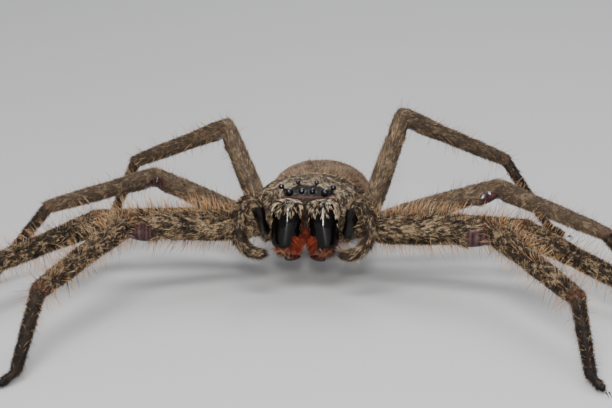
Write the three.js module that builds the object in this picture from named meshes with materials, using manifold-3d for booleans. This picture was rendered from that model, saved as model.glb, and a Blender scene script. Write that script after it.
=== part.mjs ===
// A huntsman spider standing with its legs spread, as a still life-size model.
// Millimetres. The head faces -Y, the spider's left is +X, and the floor is z = 0.
import * as THREE from 'three';
import { mergeVertices } from 'three/addons/utils/BufferGeometryUtils.js';
import Module from 'manifold-3d';

const wasm = await Module();
wasm.setup();

// The stance of the body
const BODY_LIFT = 7.7;
const BODY_PITCH_DEG = 7.2;

// Gaps where one sub-part meets the next
const GAP = 0.3;
const EYE_GAP = 0.12;

// How far a limb is drawn past a joint before it is cut there, as a share of its radius
const OVERRUN = 1.1;

// Carapace, measured about its own centre
const CARAPACE_HALF_WIDTH = 6.6;
const CARAPACE_REAR = 6.3;
const CARAPACE_TOP = 3.3;
const CARAPACE_RIM = -0.85;
const FACE_Y = -6.2;
const THORAX_MIDDLE = [0, 0.7, -0.5];
const HEAD_MIDDLE = [0, -2.1, 0.3];
const HEAD_RADII = [4.9, 5.4, 3.1];
const CHEEK_MIDDLE = [0, -2.0, -0.6];
const CHEEK_RADII = [6.1, 4.8, 2.3];

// Abdomen
const ABDOMEN_LENGTH = 16.5;
const ABDOMEN_HALF_WIDTH = 6.1;
const ABDOMEN_HALF_HEIGHT = 4.1;
const ABDOMEN_FRONT_Y = 7.6;
const ABDOMEN_Z = -0.75;
const ABDOMEN_SHAPE = [0.62, 0.88, 0.98, 1.0, 0.98, 0.92, 0.81, 0.64, 0.4];
const ABDOMEN_DROOP = 0.5;
const FOLD_X = -0.45;
const FOLD_BACK = 4.8;
const FOLD_RISE = 0.3;
const FOLD_RADII = [1.25, 4.6, 1.05];
const PEDICEL_RADII = [0.7, 0.65, 0.7];
const PEDICEL_START = [0, 4.95, -1.9];
const PEDICEL_Z = -1.45;
const SPINNERET_BASE = [0.75, 0.4, 0.5];
const SPINNERET_RADII = [0.34, 0.28, 0.2];
const SPINNERET_LENGTH = 1.2;
const SPINNERET_Z = -1.35;

// Jaws
const CHELICERA_X = 1.86;
const CHELICERA_SPREAD = 0.62;
const CHELICERA_RADIUS = 1.74;
const CHELICERA_TOP = 1.25;
const CHELICERA_BOTTOM = -4.3;
const CHELICERA_DEPTH = 1.5;
const CHELICERA_BULGE = 0.2;
const CHELICERA_LEAN = 0.35;
const CHELICERA_BULGE_Z = -1.2;
const CHELICERA_SHAPE = [0.9, 1.0, 1.0, 0.95, 0.86, 0.74];
const CHELICERA_FLATNESS = 0.88;
const CHELICERA_BLUNTNESS = 0.4;

// Fangs, folded in under the jaws with their tips towards the midline
const FANG_LINE = [
  [2.3, -7.5, -5.05],
  [1.5, -7.5, -5.25],
  [0.5, -7.2, -5.1],
];
const FANG_RADII = [0.5, 0.46, 0.38, 0.28, 0.14];

// Palps: up beside the jaw and outwards, then down with the end turned in
const PALP_RISE = [
  [4.4, -6.1, -3.0],
  [5.12, -7.9, -1.2],
  [5.2, -8.5, 0.3],
  [5.6, -8.9, 1.1],
  [6.35, -9.3, 1.0],
];
const PALP_FALL = [
  [6.35, -9.3, 1.0],
  [6.95, -9.8, -0.1],
  [7.2, -10.2, -1.6],
  [6.9, -10.6, -3.0],
  [5.9, -10.8, -4.1],
  [4.9, -10.8, -4.4],
  [3.8, -10.6, -4.3],
];
const PALP_RISE_RADII = [0.8, 0.98, 1.02, 1.0, 0.95, 0.92];
const PALP_FALL_RADII = [0.9, 0.94, 0.94, 0.92, 0.86, 0.8, 0.62];
const PALP_OVERRUN = 0.5;

// Mouthparts and the plate between the coxae
const ENDITE_LINE = [
  [3.05, -4.95, -2.6],
  [1.95, -5.2, -3.5],
  [1.55, -5.4, -4.2],
];
const ENDITE_RADII = [0.6, 0.82, 0.7];
const LABIUM_MIDDLE = [0, -4.9, -3.1];
const LABIUM_RADII = [0.62, 0.7, 0.55];
const STERNUM_MIDDLE = [0, 0.5, -2.5];
const STERNUM_RADII = [2.45, 4.4, 1.35];

// Eyes: distance from the midline, height and radius, and how deep they are set
const FRONT_EYE_DEPTH = 0.12;
const REAR_EYE_DEPTH = 0.42;
const EYES = {
  front_median: { x: 0.6, z: 1.98, radius: 0.36 },
  front_lateral: { x: 1.97, z: 1.84, radius: 0.47 },
  rear_median: { x: 1.03, z: 2.92, radius: 0.26 },
  rear_lateral: { x: 2.88, z: 2.42, radius: 0.32 },
};

// Legs from the front pair to the hind pair: segment lengths, radii with the coat on,
// and where the coxa leaves the sternum and ends at the trochanter
const LEGS = [
  { femur: 14.9, patella: 6.1, tibia: 13.6, metatarsus: 12.3, tarsus: 3.4,
    femurRadius: 1.75, tibiaRadius: 1.15, metatarsusRadius: 0.84,
    inner: [2.9, -2.9, -2.5], root: [6.2, -4.2, -2.3] },
  { femur: 16.8, patella: 6.4, tibia: 14.5, metatarsus: 13.2, tarsus: 3.6,
    femurRadius: 1.8, tibiaRadius: 1.14, metatarsusRadius: 0.84,
    inner: [3.0, -0.6, -2.6], root: [7.2, -1.0, -2.5] },
  { femur: 14.4, patella: 5.3, tibia: 11.2, metatarsus: 10.4, tarsus: 3.1,
    femurRadius: 1.34, tibiaRadius: 0.98, metatarsusRadius: 0.74,
    inner: [3.0, 1.8, -2.6], root: [7.1, 2.6, -2.6] },
  { femur: 13.4, patella: 5.0, tibia: 11.0, metatarsus: 9.8, tarsus: 3.2,
    femurRadius: 1.28, tibiaRadius: 0.98, metatarsusRadius: 0.74,
    inner: [2.6, 4.2, -2.6], root: [6.0, 6.0, -2.6] },
];
const COXA_RADIUS = 1.2;
const TARSUS_RADIUS = 0.58;
const ANKLE_HEIGHT = 0.95;
const TIP_HEIGHT = 0.3;
const COXA_OVERRUN = 1;
const TARSUS_TUCK = 0.4;

// Pose of each leg in degrees. A heading is 0 straight out to the side, minus forwards
// and plus backwards; a rise is above the level. The metatarsus drops to the floor.
const POSE = {
  left: [
    { femur: [-17, 5], tibia: [-64, -6], metatarsus: -85, tarsus: -65 },
    { femur: [-2, 0], tibia: [-48, -8], metatarsus: -55, tarsus: -55 },
    { femur: [4, 17], tibia: [-44, -7], metatarsus: -50, tarsus: -50 },
    { femur: [64, 52], tibia: [32, -25], metatarsus: -37, tarsus: -40 },
  ],
  right: [
    { femur: [-28, 7], tibia: [-73, -6], metatarsus: -90, tarsus: -65 },
    { femur: [-10, 2], tibia: [-60, -3], metatarsus: -55, tarsus: -55 },
    { femur: [30, 13], tibia: [-52, -2], metatarsus: -50, tarsus: -50 },
    { femur: [59, 40], tibia: [32, -23], metatarsus: -76, tarsus: -52 },
  ],
};

// Radii along a segment, as shares of its own radius
const FEMUR_SHAPE = [0.74, 0.96, 1.04, 1.04, 1.0, 0.95, 0.88, 0.82];
const TIBIA_SHAPE = [1.2, 1.3, 1.28, 1.06, 1.08, 1.08, 1.02, 0.96, 0.86];
const METATARSUS_SHAPE = [1.08, 1.04, 1.0, 0.92, 0.84];
const TARSUS_SHAPE = [0.95, 1.05, 1.0];
const COXA_SHAPE = [0.84, 0.98, 1.05, 1.0];

const COLOURS = {
  hair: 0x6b5a45,
  abdomen: 0x7a6a58,
  horn: 0x1a1210,
  eye: 0x08080c,
};

const UP = new THREE.Vector3(0, 0, 1);
const AHEAD = new THREE.Vector3(0, 1, 0);
const FAR = 60;

// A three.js geometry as a manifold solid whose faces point outwards
function solid(geometry) {
  const bare = geometry.clone();
  bare.deleteAttribute('normal');
  bare.deleteAttribute('uv');
  const merged = mergeVertices(bare, 1e-4);
  const position = merged.getAttribute('position');
  const corners = [];
  let volume = 0;
  for (let i = 0; i < merged.index.count; i += 3) {
    const [a, b, c] = [0, 1, 2].map((k) => merged.index.getX(i + k));
    if (a === b || b === c || c === a) continue;
    corners.push(a, b, c);
    const [p, q, r] = [a, b, c].map((k) => new THREE.Vector3().fromBufferAttribute(position, k));
    volume += p.dot(q.cross(r));
  }
  if (volume < 0) corners.reverse();
  return new wasm.Manifold(new wasm.Mesh({
    numProp: 3,
    vertProperties: new Float32Array(position.array),
    triVerts: new Uint32Array(corners),
  }));
}

// A list of numbers read as a smooth line, at t from 0 to 1
function along(values, t) {
  const place = t * (values.length - 1);
  const first = Math.min(Math.floor(place), values.length - 2);
  return THREE.MathUtils.lerp(values[first], values[first + 1], place - first);
}

// A rounded limb: a turned profile carried along the line through the given points
function sweep(points, radii, options = {}) {
  const { sides = 10, steps = 10, reference = UP, deep = 1, blunt = 0.6 } = options;
  const curve = new THREE.CatmullRomCurve3(points, false, 'centripetal');
  const length = curve.getLength();
  const profile = [];
  for (let i = 0; i <= steps; i++) {
    const t = (1 - Math.cos((Math.PI * i) / steps)) / 2;
    const radius = along(radii, t);
    const fromEnd = Math.min(t, 1 - t) * length;
    const cap = Math.min(1, fromEnd / (blunt * radius));
    profile.push(new THREE.Vector2(radius * Math.sqrt(1 - (1 - cap) ** 2), t));
  }
  const geometry = new THREE.LatheGeometry(profile, sides);
  const position = geometry.getAttribute('position');
  for (let i = 0; i < position.count; i++) {
    const t = THREE.MathUtils.clamp(position.getY(i), 0, 1);
    const tangent = curve.getTangentAt(t);
    const side = new THREE.Vector3().crossVectors(tangent, reference).normalize();
    const top = new THREE.Vector3().crossVectors(side, tangent).normalize();
    const point = curve.getPointAt(t);
    point.addScaledVector(side, position.getX(i));
    point.addScaledVector(top, position.getZ(i) * deep);
    position.setXYZ(i, point.x, point.y, point.z);
  }
  return solid(geometry);
}

// An ellipsoid at a place in the body's own measure
function ball(centre, radii, [around, down] = [16, 10]) {
  const geometry = new THREE.SphereGeometry(1, around, down);
  geometry.rotateX(Math.PI / 2);
  geometry.scale(...radii);
  geometry.translate(...centre);
  return solid(toWorld(geometry));
}

// A block in the body's own measure, used as a cutter
function block(low, high) {
  const size = high.map((value, i) => value - low[i]);
  const geometry = new THREE.BoxGeometry(...size);
  geometry.translate(...low.map((value, i) => value + size[i] / 2));
  return solid(toWorld(geometry));
}

// All that lies beyond a plane, on the side its direction points to
function beyond(point, direction) {
  const geometry = new THREE.BoxGeometry(FAR, FAR, FAR);
  geometry.translate(0, 0, FAR / 2);
  const turn = new THREE.Quaternion().setFromUnitVectors(UP, direction.clone().normalize());
  geometry.applyQuaternion(turn);
  geometry.translate(point.x, point.y, point.z);
  return solid(geometry);
}

// The body is tipped nose up about its centre and raised over the floor
function toWorld(geometry) {
  geometry.rotateX(-THREE.MathUtils.degToRad(BODY_PITCH_DEG));
  geometry.translate(0, 0, BODY_LIFT);
  return geometry;
}

function bodyPoint(x, y, z) {
  const point = new THREE.Vector3(x, y, z);
  point.applyAxisAngle(new THREE.Vector3(1, 0, 0), -THREE.MathUtils.degToRad(BODY_PITCH_DEG));
  point.z += BODY_LIFT;
  return point;
}

function bodyPath(sign, rows) {
  return rows.map(([x, y, z]) => bodyPoint(sign * x, y, z));
}

function largest(shape) {
  const pieces = shape.decompose();
  pieces.sort((a, b) => b.volume() - a.volume());
  return pieces[0];
}

const group = new THREE.Group();
group.name = 'huntsman_spider';

function addNode(name, shape, colour, roughness) {
  const data = largest(shape).getMesh();
  const geometry = new THREE.BufferGeometry();
  geometry.setAttribute('position', new THREE.BufferAttribute(new Float32Array(data.vertProperties), 3));
  geometry.setIndex(new THREE.BufferAttribute(new Uint32Array(data.triVerts), 1));
  geometry.computeVertexNormals();
  const material = new THREE.MeshStandardMaterial({ color: colour, roughness, metalness: 0 });
  material.name = name;
  const mesh = new THREE.Mesh(geometry, material);
  mesh.name = name;
  group.add(mesh);
}

function heading(sign, degrees, rise) {
  const turn = THREE.MathUtils.degToRad(degrees);
  const lift = THREE.MathUtils.degToRad(rise);
  return new THREE.Vector3(
    sign * Math.cos(turn) * Math.cos(lift),
    Math.sin(turn) * Math.cos(lift),
    Math.sin(lift),
  );
}

function step(from, direction, distance) {
  return from.clone().addScaledVector(direction, distance);
}

// Direction that covers a given length while it drops to a given height
function dropTo(sign, degrees, from, length, height) {
  const rise = THREE.MathUtils.radToDeg(Math.asin((height - from.z) / length));
  return heading(sign, degrees, rise);
}

// A straight limb run a little past both of its joints, to be mitred there
function segment(start, end, radii, options) {
  const direction = end.clone().sub(start).normalize();
  const first = step(start, direction, -OVERRUN * radii[0]);
  const last = step(end, direction, OVERRUN * radii[radii.length - 1]);
  return sweep([first, last], radii, options);
}

// Cuts two limbs along the plane that halves the joint between them, half a gap each
function mitre(before, after, joint, inward, outward) {
  const normal = inward.clone().add(outward).normalize();
  const near = beyond(step(joint, normal, -GAP / 2), normal);
  const far = beyond(step(joint, normal, GAP / 2), normal.clone().negate());
  return [before.subtract(near), after.subtract(far)];
}

const shares = (shape, radius) => shape.map((share) => share * radius);

function addLeg(side, number) {
  const sign = side === 'left' ? 1 : -1;
  const size = LEGS[number - 1];
  const pose = POSE[side][number - 1];
  const inner = bodyPoint(sign * size.inner[0], size.inner[1], size.inner[2]);
  const root = bodyPoint(sign * size.root[0], size.root[1], size.root[2]);
  const coxaLine = root.clone().sub(inner).normalize();
  const femurLine = heading(sign, ...pose.femur);
  const knee = step(root, femurLine, size.femur);
  const tibiaLine = heading(sign, ...pose.tibia);
  const shin = step(knee, tibiaLine, size.patella + size.tibia);
  const footLine = dropTo(sign, pose.metatarsus, shin, size.metatarsus, ANKLE_HEIGHT);
  const ankle = step(shin, footLine, size.metatarsus);
  const toeLine = dropTo(sign, pose.tarsus, ankle, size.tarsus, TIP_HEIGHT);
  const tip = step(ankle, toeLine, size.tarsus - TARSUS_RADIUS);

  const plain = { sides: 8, steps: 6 };
  const coxaEnds = [inner, step(root, coxaLine, COXA_OVERRUN)];
  const tarsusEnds = [step(ankle, toeLine, -TARSUS_TUCK), tip];
  let coxa = sweep(coxaEnds, shares(COXA_SHAPE, COXA_RADIUS), plain);
  let femur = segment(root, knee, shares(FEMUR_SHAPE, size.femurRadius), { sides: 10, steps: 9 });
  let tibia = segment(knee, shin, shares(TIBIA_SHAPE, size.tibiaRadius), { sides: 10, steps: 11 });
  let foot = segment(shin, ankle, shares(METATARSUS_SHAPE, size.metatarsusRadius), plain);
  foot = foot.add(sweep(tarsusEnds, shares(TARSUS_SHAPE, TARSUS_RADIUS), plain));
  foot = foot.subtract(beyond(new THREE.Vector3(tip.x, tip.y, 0), UP.clone().negate()));

  [coxa, femur] = mitre(coxa, femur, root, coxaLine, femurLine);
  [femur, tibia] = mitre(femur, tibia, knee, femurLine, tibiaLine);
  [tibia, foot] = mitre(tibia, foot, shin, tibiaLine, footLine);
  const name = `leg_${side}_${number}`;
  addNode(`${name}_coxa`, coxa, COLOURS.hair, 0.8);
  addNode(`${name}_femur`, femur, COLOURS.hair, 0.8);
  addNode(`${name}_tibia`, tibia, COLOURS.hair, 0.8);
  addNode(`${name}_foot`, foot, COLOURS.hair, 0.8);
}

// Low rounded thorax and a narrower head, flat below and upright in front
function carapaceShape() {
  const [, middleY, middleZ] = THORAX_MIDDLE;
  const thoraxRadii = [CARAPACE_HALF_WIDTH, CARAPACE_REAR - middleY, CARAPACE_TOP - middleZ];
  const thorax = ball(THORAX_MIDDLE, thoraxRadii, [24, 12]);
  const head = ball(HEAD_MIDDLE, HEAD_RADII, [20, 12]);
  const cheeks = ball(CHEEK_MIDDLE, CHEEK_RADII, [20, 10]);
  let shape = thorax.add(head).add(cheeks);
  shape = shape.subtract(block([-FAR, -FAR, -FAR], [FAR, FAR, CARAPACE_RIM]));
  return shape.subtract(block([-FAR, -FAR, -FAR], [FAR, FACE_Y, FAR]));
}

// The front eyes bulge from the face and the rear ones from the brow behind it
function addEyesAndCarapace() {
  let carapace = carapaceShape();
  for (const [kind, eye] of Object.entries(EYES)) {
    for (const [side, sign] of [['left', 1], ['right', -1]]) {
      const depth = kind.startsWith('rear') ? REAR_EYE_DEPTH : FRONT_EYE_DEPTH;
      const centre = [sign * eye.x, FACE_Y + depth, eye.z];
      const bulge = Array(3).fill(eye.radius);
      const socket = Array(3).fill(eye.radius + EYE_GAP);
      carapace = carapace.subtract(ball(centre, socket, [10, 6]));
      addNode(`eye_${kind}_${side}`, ball(centre, bulge, [10, 6]), COLOURS.eye, 0.1);
    }
  }
  addNode('carapace', carapace, COLOURS.hair, 0.8);
}

// Upright bulging jaws in front of the face
function addChelicera(side, sign) {
  const path = bodyPath(sign, [
    [CHELICERA_X, FACE_Y - CHELICERA_DEPTH, CHELICERA_TOP],
    [
      CHELICERA_X + 0.2 * CHELICERA_SPREAD,
      FACE_Y - CHELICERA_DEPTH - CHELICERA_BULGE,
      CHELICERA_BULGE_Z,
    ],
    [CHELICERA_X + CHELICERA_SPREAD, FACE_Y - CHELICERA_DEPTH - CHELICERA_LEAN, CHELICERA_BOTTOM],
  ]);
  let shape = sweep(path, shares(CHELICERA_SHAPE, CHELICERA_RADIUS), {
    sides: 14,
    steps: 11,
    reference: AHEAD,
    deep: CHELICERA_FLATNESS,
    blunt: CHELICERA_BLUNTNESS,
  });
  shape = shape.subtract(block([-FAR, FACE_Y - GAP, CARAPACE_RIM - GAP], [FAR, FAR, FAR]));
  shape = shape.subtract(block([-GAP / 2, -FAR, -FAR], [GAP / 2, FAR, FAR]));
  addNode(`chelicera_${side}`, shape, COLOURS.horn, 0.3);
}

function addFang(side, sign) {
  const shape = sweep(bodyPath(sign, FANG_LINE), FANG_RADII, { sides: 8, steps: 7, reference: AHEAD });
  addNode(`fang_${side}`, shape, COLOURS.horn, 0.2);
}

// A palp in two sub-parts, cut across where it turns over at the top of its arch
function addPalp(side, sign) {
  const rise = bodyPath(sign, PALP_RISE);
  const fall = bodyPath(sign, PALP_FALL);
  const joint = rise[rise.length - 1];
  const inward = joint.clone().sub(rise[rise.length - 2]).normalize();
  const outward = fall[1].clone().sub(fall[0]).normalize();
  rise.push(step(joint, inward, PALP_OVERRUN));
  fall.unshift(step(joint, outward, -PALP_OVERRUN));
  const round = { sides: 10, steps: 11, reference: AHEAD };
  let upper = sweep(rise, PALP_RISE_RADII, round);
  let lower = sweep(fall, PALP_FALL_RADII, round);
  [upper, lower] = mitre(upper, lower, joint, inward, outward);
  addNode(`palp_${side}_femur`, upper, COLOURS.hair, 0.8);
  addNode(`palp_${side}_tarsus`, lower, COLOURS.hair, 0.8);
}

// Mouthparts under the head: a blunt endite on each side and the labium between
function addMouth() {
  for (const [side, sign] of [['left', 1], ['right', -1]]) {
    const path = bodyPath(sign, ENDITE_LINE);
    const endite = sweep(path, ENDITE_RADII, { sides: 8, steps: 6, reference: AHEAD });
    addNode(`endite_${side}`, endite, COLOURS.hair, 0.8);
  }
  addNode('labium', ball(LABIUM_MIDDLE, LABIUM_RADII, [10, 6]), COLOURS.hair, 0.8);
}

// The plate between the coxae, cut level where it lies under the carapace
function addSternum() {
  const above = block([-FAR, -FAR, CARAPACE_RIM - GAP], [FAR, FAR, FAR]);
  const plate = ball(STERNUM_MIDDLE, STERNUM_RADII, [16, 8]).subtract(above);
  addNode('sternum', plate, COLOURS.hair, 0.8);
}

function addAbdomen() {
  const middle = ABDOMEN_FRONT_Y + ABDOMEN_LENGTH / 2;
  const path = bodyPath(1, [
    [0, ABDOMEN_FRONT_Y, ABDOMEN_Z + 0.3],
    [0, middle, ABDOMEN_Z],
    [0, ABDOMEN_FRONT_Y + ABDOMEN_LENGTH, ABDOMEN_Z - ABDOMEN_DROOP],
  ]);
  const top = ABDOMEN_Z + ABDOMEN_HALF_HEIGHT;
  const fold = ball([FOLD_X, ABDOMEN_FRONT_Y + FOLD_BACK, top + FOLD_RISE], FOLD_RADII, [14, 10]);
  const egg = sweep(path, shares(ABDOMEN_SHAPE, ABDOMEN_HALF_WIDTH), {
    sides: 20,
    steps: 14,
    deep: ABDOMEN_HALF_HEIGHT / ABDOMEN_HALF_WIDTH,
  });
  addNode('abdomen', egg.subtract(fold), COLOURS.abdomen, 0.8);
}

// The narrow waist between the sternum and the abdomen
function addPedicel() {
  const path = bodyPath(1, [PEDICEL_START, [0, ABDOMEN_FRONT_Y - GAP, PEDICEL_Z]]);
  addNode('pedicel', sweep(path, PEDICEL_RADII, { sides: 8, steps: 4 }), COLOURS.hair, 0.8);
}

// Two short fingers on a common base at the tail end
function addSpinnerets() {
  const base = ABDOMEN_FRONT_Y + ABDOMEN_LENGTH + GAP + SPINNERET_BASE[1];
  let shape = ball([0, base, SPINNERET_Z], SPINNERET_BASE, [10, 6]);
  for (const sign of [1, -1]) {
    const path = bodyPath(sign, [
      [0.35, base, SPINNERET_Z],
      [0.55, base + SPINNERET_LENGTH, SPINNERET_Z - 0.1],
    ]);
    shape = shape.add(sweep(path, SPINNERET_RADII, { sides: 8, steps: 4 }));
  }
  addNode('spinnerets', shape, COLOURS.abdomen, 0.8);
}

addEyesAndCarapace();
addSternum();
addMouth();
addAbdomen();
addPedicel();
addSpinnerets();
for (const [side, sign] of [['left', 1], ['right', -1]]) {
  addChelicera(side, sign);
  addFang(side, sign);
  addPalp(side, sign);
  for (let number = 1; number <= LEGS.length; number++) addLeg(side, number);
}

// The origin is under the middle of the whole animal, on the floor
const bounds = new THREE.Box3().setFromObject(group);
const middle = bounds.getCenter(new THREE.Vector3());
for (const mesh of group.children) mesh.geometry.translate(-middle.x, -middle.y, -bounds.min.z);

export default group;
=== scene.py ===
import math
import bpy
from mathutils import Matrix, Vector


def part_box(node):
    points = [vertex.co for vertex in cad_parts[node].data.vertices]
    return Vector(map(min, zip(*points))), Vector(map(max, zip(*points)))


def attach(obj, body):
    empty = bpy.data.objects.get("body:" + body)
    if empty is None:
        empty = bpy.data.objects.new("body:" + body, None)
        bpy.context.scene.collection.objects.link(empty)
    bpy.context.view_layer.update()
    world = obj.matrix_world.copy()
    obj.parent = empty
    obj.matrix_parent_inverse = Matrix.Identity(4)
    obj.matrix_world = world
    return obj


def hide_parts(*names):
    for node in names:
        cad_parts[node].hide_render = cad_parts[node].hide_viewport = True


bl_info = {
    "name": "Huntsman spider model",
    "version": (1, 0, 0),
    "blender": (4, 5, 0),
    "location": "3D View > Sidebar > Spider",
    "description": "Skin, coat, eyes, jaws and claws of a life-size huntsman spider, and its studio",
    "category": "Object",
}

import bpy
import numpy as np
from mathutils import Matrix, Vector, noise

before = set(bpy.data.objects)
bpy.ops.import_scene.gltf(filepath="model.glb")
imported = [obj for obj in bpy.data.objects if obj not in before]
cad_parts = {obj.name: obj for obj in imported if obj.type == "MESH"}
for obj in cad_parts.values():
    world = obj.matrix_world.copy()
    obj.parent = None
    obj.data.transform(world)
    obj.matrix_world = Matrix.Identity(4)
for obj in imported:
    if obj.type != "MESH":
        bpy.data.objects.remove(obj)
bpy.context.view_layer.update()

MM = 0.001
SIDES = {"left": 1, "right": -1}

# The stance of the body and the build of the legs, in millimetres and degrees, as in the solids
BODY_LIFT = 7.7
BODY_PITCH = math.radians(7.2)
FACE_Y = -6.2
COXA_RADIUS = 1.2
TARSUS_RADIUS = 0.58
ANKLE_HEIGHT = 0.95
TIP_HEIGHT = 0.3
LEGS = (
    dict(femur=14.9, patella=6.1, tibia=13.6, metatarsus=12.3, tarsus=3.4, radii=(1.75, 1.15, 0.84),
         inner=(2.9, -2.9, -2.5), root=(6.2, -4.2, -2.3)),
    dict(femur=16.8, patella=6.4, tibia=14.5, metatarsus=13.2, tarsus=3.6, radii=(1.8, 1.14, 0.84),
         inner=(3.0, -0.6, -2.6), root=(7.2, -1.0, -2.5)),
    dict(femur=14.4, patella=5.3, tibia=11.2, metatarsus=10.4, tarsus=3.1, radii=(1.34, 0.98, 0.74),
         inner=(3.0, 1.8, -2.6), root=(7.1, 2.6, -2.6)),
    dict(femur=13.4, patella=5.0, tibia=11.0, metatarsus=9.8, tarsus=3.2, radii=(1.28, 0.98, 0.74),
         inner=(2.6, 4.2, -2.6), root=(6.0, 6.0, -2.6)),
)
POSE = {
    "left": (
        dict(femur=(-17, 5), tibia=(-64, -6), metatarsus=-85, tarsus=-65),
        dict(femur=(-2, 0), tibia=(-48, -8), metatarsus=-55, tarsus=-55),
        dict(femur=(4, 17), tibia=(-44, -7), metatarsus=-50, tarsus=-50),
        dict(femur=(64, 52), tibia=(32, -25), metatarsus=-37, tarsus=-40),
    ),
    "right": (
        dict(femur=(-28, 7), tibia=(-73, -6), metatarsus=-90, tarsus=-65),
        dict(femur=(-10, 2), tibia=(-60, -3), metatarsus=-55, tarsus=-55),
        dict(femur=(30, 13), tibia=(-52, -2), metatarsus=-50, tarsus=-50),
        dict(femur=(59, 40), tibia=(32, -23), metatarsus=-76, tarsus=-52),
    ),
}
PALP_LINE = (
    (4.4, -6.1, -3.0), (5.12, -7.9, -1.2), (5.2, -8.5, 0.3), (5.6, -8.9, 1.1), (6.35, -9.3, 1.0),
    (6.95, -9.8, -0.1), (7.2, -10.2, -1.6), (6.9, -10.6, -3.0), (5.9, -10.8, -4.1), (4.9, -10.8, -4.4),
    (3.8, -10.6, -4.3),
)
PALP_RADIUS = 0.95
EYES = {
    "front_median": (0.6, 1.98, 0.36),
    "front_lateral": (1.97, 1.84, 0.47),
    "rear_median": (1.03, 2.92, 0.26),
    "rear_lateral": (2.88, 2.42, 0.32),
}
FRONT_EYE_DEPTH = 0.12
REAR_EYE_DEPTH = 0.42
ABDOMEN_MIDDLE = (0, 15.8, -0.8)
ABDOMEN_RADII = (6.1, 8.3, 4.1)
CARAPACE_MIDDLE = (0, 0.2, 0.4)
CARAPACE_RADII = (6.6, 6.4, 3.4)
# Spacing of the painted light and shade stripes that stand for ridges on the knee membranes, in millimetres
KNEE_RIDGE_SHADING_SPACING = 0.38
STREAK = 0.75

# Marks on the face, palps and jaws, in millimetres about the body's centre
FACE_SKIN = 0.9
BROW_HEIGHT = 1.4
BROW_DROP = 0.042
RIM_HALF_HEIGHT = 0.13
RIM_REACH = 4.3
BAND_HALF_WIDTH = 3.0
BAND_MIDDLE = 1.95
BAND_HALF_HEIGHT = 0.64
PALP_OVAL_MIDDLE = (4.9, -1.35)
PALP_OVAL_RADII = (1.15, 1.9)
PALP_OVAL_FRONT = -9.7
MOUTH_Y = -4.4
JAW_TOP = -0.15
JAW_OUTER_X = 3.35
JAW_DARK = -1.3
FRINGE_TOP = -2.6
JAW_TIP = -3.85

# Length of the bristles as a share of the full length: body, feet with palps, and hind legs
BODY_BRISTLES = 0.45
TOE_BRISTLES = 0.6
HIND_BRISTLES = 0.75

# Seeds of the random draws
SKIN_SEED = 11
COAT_SEED = 21
BRISTLE_SEED = 31
JAW_SEED = 41

# Colours of the hair and horn, as linear red, green and blue
BLACK = (0.003, 0.0022, 0.0022)
DARK = (0.01, 0.006, 0.004)
BROWN = (0.05, 0.03, 0.017)
OLIVE = (0.085, 0.058, 0.034)
GREY_BROWN = (0.15, 0.104, 0.07)
ABDOMEN_BROWN = (0.25, 0.148, 0.088)
TAN = (0.32, 0.23, 0.14)
CREAM = (0.6, 0.49, 0.34)
PALE = (0.42, 0.3, 0.18)
ORANGE = (0.4, 0.19, 0.075)
RED_ORANGE = (0.34, 0.06, 0.018)
RED = (0.16, 0.021, 0.007)
DEEP_RED = (0.045, 0.007, 0.004)
RUSSET = (0.09, 0.03, 0.015)
MEMBRANE = (0.03, 0.014, 0.014)
CLYPEUS_RIM = (0.045, 0.014, 0.011)

# Kinds of surface
CARAPACE, UNDERSIDE, ABDOMEN, COXA, FEMUR, PATELLA, TIBIA, METATARSUS, TARSUS, PALP = range(10)

# Hair of each kind: tufts per square millimetre, length, half width, lift in degrees,
# main, light and dark colours, and the shares of light and dark tufts
COATS = {
    CARAPACE: (84, 0.36, 0.025, 22, GREY_BROWN, CREAM, DARK, 0.14, 0.36),
    UNDERSIDE: (34, 0.6, 0.034, 26, BROWN, TAN, DARK, 0.2, 0.3),
    ABDOMEN: (62, 0.4, 0.028, 22, ABDOMEN_BROWN, TAN, BROWN, 0.25, 0.2),
    COXA: (46, 0.55, 0.03, 22, OLIVE, TAN, DARK, 0.25, 0.35),
    FEMUR: (56, 0.58, 0.028, 20, OLIVE, PALE, DARK, 0.2, 0.38),
    PATELLA: (56, 0.55, 0.028, 20, OLIVE, PALE, DARK, 0.14, 0.44),
    TIBIA: (56, 0.56, 0.028, 21, OLIVE, PALE, DARK, 0.1, 0.48),
    METATARSUS: (58, 0.52, 0.028, 28, BROWN, OLIVE, DARK, 0.2, 0.5),
    TARSUS: (62, 0.42, 0.028, 34, DARK, BROWN, BLACK, 0.2, 0.4),
    PALP: (62, 0.62, 0.026, 24, BROWN, TAN, DARK, 0.16, 0.34),
}


# Places on the body

def body_point(x, y, z):
    """A point given about the tipped body's centre, over the floor, before the shift to the frame."""
    turned_y = y * math.cos(BODY_PITCH) + z * math.sin(BODY_PITCH)
    turned_z = BODY_LIFT - y * math.sin(BODY_PITCH) + z * math.cos(BODY_PITCH)
    return Vector((x, turned_y, turned_z))


def frame_shift():
    """How far the solids were shifted so that the origin is under their middle, from the front eyes."""
    middle = Vector((0, 0, 0))
    for side in SIDES:
        low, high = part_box("eye_front_lateral_" + side)
        middle += (Vector(low) + Vector(high)) / 4
    return middle / MM - body_point(0, FACE_Y + FRONT_EYE_DEPTH, EYES["front_lateral"][1])


SHIFT = frame_shift()


def place(x, y, z):
    """A body place in the frame, in metres."""
    return (body_point(x, y, z) + SHIFT) * MM


def to_body(points):
    """Frame points in metres, as millimetres about the body's centre."""
    moved = points / MM - np.array(SHIFT) - np.array((0, 0, BODY_LIFT))
    cosine, sine = math.cos(BODY_PITCH), math.sin(BODY_PITCH)
    turned = moved.copy()
    turned[:, 1] = moved[:, 1] * cosine - moved[:, 2] * sine
    turned[:, 2] = moved[:, 1] * sine + moved[:, 2] * cosine
    return turned


def heading(sign, degrees, rise):
    turn, lift = math.radians(degrees), math.radians(rise)
    return Vector((sign * math.cos(turn) * math.cos(lift), math.sin(turn) * math.cos(lift), math.sin(lift)))


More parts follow.
